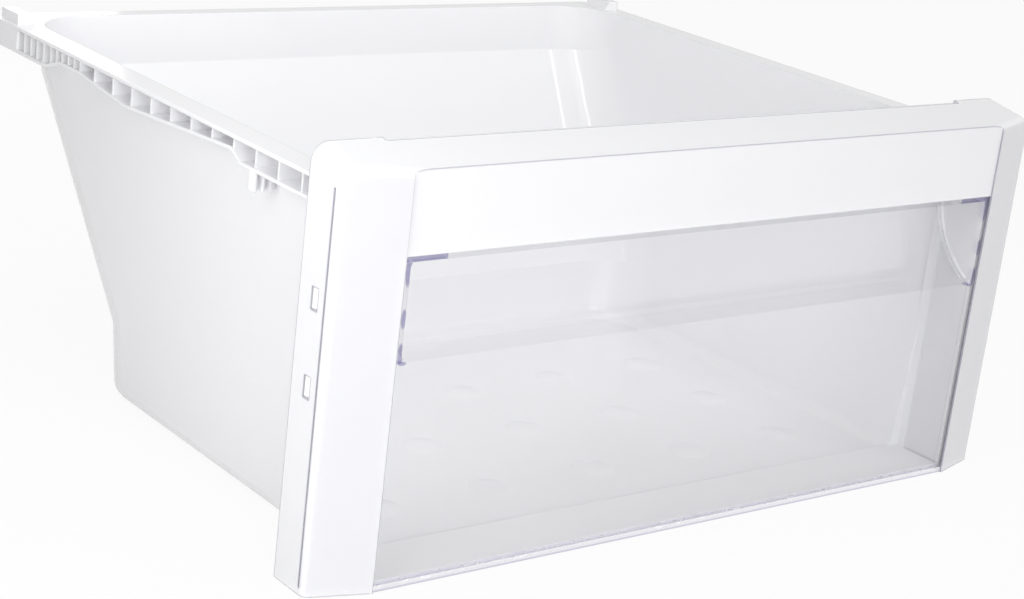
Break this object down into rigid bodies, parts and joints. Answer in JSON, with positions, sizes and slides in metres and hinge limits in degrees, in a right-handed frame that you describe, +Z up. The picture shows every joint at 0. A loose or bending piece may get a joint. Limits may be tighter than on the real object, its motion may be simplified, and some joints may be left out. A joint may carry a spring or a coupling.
{
  "type": "fridge crisper drawer",
  "caption": "Fridge crisper drawer: white tapered tub with sloped rear wall and ribbed side runners, closed by a clear clip-on front cover with a wide finger scoop.",
  "frame": {"origin": "centre of the drawer's box in plan, on the surface it stands on", "axes": "+X to the right seen from the front, +Y to the rear, +Z up; the front cover faces -Y"},
  "size_m": [0.49, 0.4122, 0.2255],
  "materials": {
    "white_plastic": "white moulded polystyrene, satin gloss",
    "clear_plastic": "clear moulded plastic with a faint lilac tint, gloss"
  },
  "bodies": {
    "root": {"drawer_tub": "white_plastic", "front_cover": "clear_plastic"}
  },
  "joints": []
}
